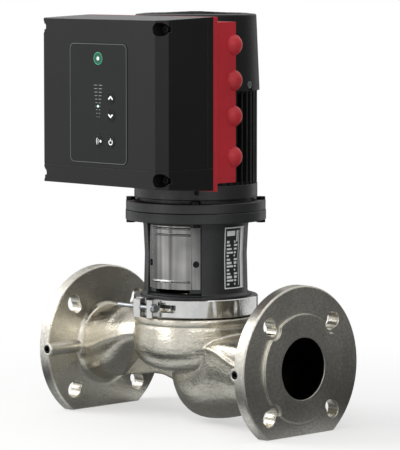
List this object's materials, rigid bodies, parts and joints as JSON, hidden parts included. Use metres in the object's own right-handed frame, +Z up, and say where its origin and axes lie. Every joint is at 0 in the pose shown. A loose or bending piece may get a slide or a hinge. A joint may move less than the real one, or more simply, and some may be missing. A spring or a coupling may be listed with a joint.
{
  "type": "in-line pump",
  "caption": "In-line centrifugal pump: flanged stainless housing, impeller on a coupled motor shaft, finned motor with fan, and a control box with keypad.",
  "frame": {"origin": "centre of the suction port on its raised face", "axes": "+X out of the suction port, along the pipe; +Z up, along the shaft towards the motor; the control box faces -Y"},
  "size_m": [0.34, 0.2448, 0.469],
  "materials": {
    "stainless_casting": "cast stainless steel, bead blasted and pickled",
    "machined_steel": "turned stainless steel",
    "zinc_fastener": "zinc plated steel",
    "polished_band": "polished stainless steel",
    "stool_iron": "cast iron with a thin black coat",
    "motor_paint": "aluminium casting, black paint",
    "fan_cover_paint": "pressed sheet, dark grey paint",
    "cover_plastic": "black moulded plastic, fine grain",
    "panel_plastic": "dark grey keypad foil",
    "button_plastic": "dark grey raised key",
    "red_plastic": "dark red moulded plastic",
    "lens_plastic": "translucent green lens",
    "black_rubber": "moulded rubber",
    "seal_ceramic": "silicon carbide",
    "black_steel": "blackened steel",
    "coupling_steel": "sintered steel",
    "electrical_steel": "stacked electrical steel",
    "copper_wire": "enamelled copper wire",
    "magnet": "sintered magnet",
    "bearing_steel": "ground bearing steel",
    "board": "printed circuit board with its components",
    "terminal_plastic": "light grey moulded plastic",
    "fan_plastic": "black moulded plastic"
  },
  "bodies": {
    "pump": {"pump_housing": "stainless_casting", "wear_ring": "machined_steel", "tapping_plugs": "black_steel", "seal_cover": "machined_steel", "cover_o_ring": "black_rubber", "clamp_band": "polished_band", "clamp_trunnion": "zinc_fastener", "clamp_bolt": "zinc_fastener", "motor_stool": "stool_iron", "front_coupling_guard": "polished_band", "rear_coupling_guard": "polished_band", "guard_screws": "zinc_fastener", "seal_seat": "seal_ceramic", "drive_end_shield": "motor_paint", "motor_flange_bolts": "zinc_fastener", "motor_flange_nuts": "zinc_fastener", "drain_plug": "black_steel", "stator_housing": "motor_paint", "stator_core": "electrical_steel", "stator_windings": "copper_wire", "drive_bearing_outer": "bearing_steel", "fan_bearing_outer": "bearing_steel", "fan_end_shield": "motor_paint", "fan_cover": "fan_cover_paint", "fan_cover_screws": "zinc_fastener", "terminal_box": "red_plastic", "terminal_box_screws": "zinc_fastener", "cable_entry_plugs": "red_plastic", "terminal_block": "terminal_plastic", "power_board": "board", "cover_gasket": "black_rubber", "control_cover": "cover_plastic", "cover_screws": "black_steel", "control_board": "board", "display_panel": "panel_plastic", "status_lens": "lens_plastic"},
    "rotor": {"impeller": "machined_steel", "impeller_nut": "machined_steel", "pump_shaft": "machined_steel", "seal_bellows": "black_rubber", "coupling_half_front": "coupling_steel", "coupling_half_rear": "coupling_steel", "coupling_screws": "black_steel", "rotor_core": "electrical_steel", "rotor_magnets": "magnet", "motor_shaft": "machined_steel", "drive_bearing_inner": "bearing_steel", "fan_bearing_inner": "bearing_steel", "fan": "fan_plastic"},
    "button_up_key": {"button_up": "button_plastic"},
    "button_down_key": {"button_down": "button_plastic"},
    "button_wireless_key": {"button_wireless": "button_plastic"},
    "button_power_key": {"button_power": "button_plastic"}
  },
  "joints": [
    {"name": "rotor_spin", "type": "hinge", "parent": "pump", "child": "rotor", "pos_m": [-0.17, 0, 0.12], "axis": [0, 0, 1], "continuous": true},
    {"name": "button_up_press", "type": "slide", "parent": "pump", "child": "button_up_key", "axis": [0, 1, 0], "range_m": [0, 0.0006], "stiffness_N_per_m": 2500},
    {"name": "button_down_press", "type": "slide", "parent": "pump", "child": "button_down_key", "axis": [0, 1, 0], "range_m": [0, 0.0006], "stiffness_N_per_m": 2500},
    {"name": "button_wireless_press", "type": "slide", "parent": "pump", "child": "button_wireless_key", "axis": [0, 1, 0], "range_m": [0, 0.0006], "stiffness_N_per_m": 2500},
    {"name": "button_power_press", "type": "slide", "parent": "pump", "child": "button_power_key", "axis": [0, 1, 0], "range_m": [0, 0.0006], "stiffness_N_per_m": 2500}
  ]
}
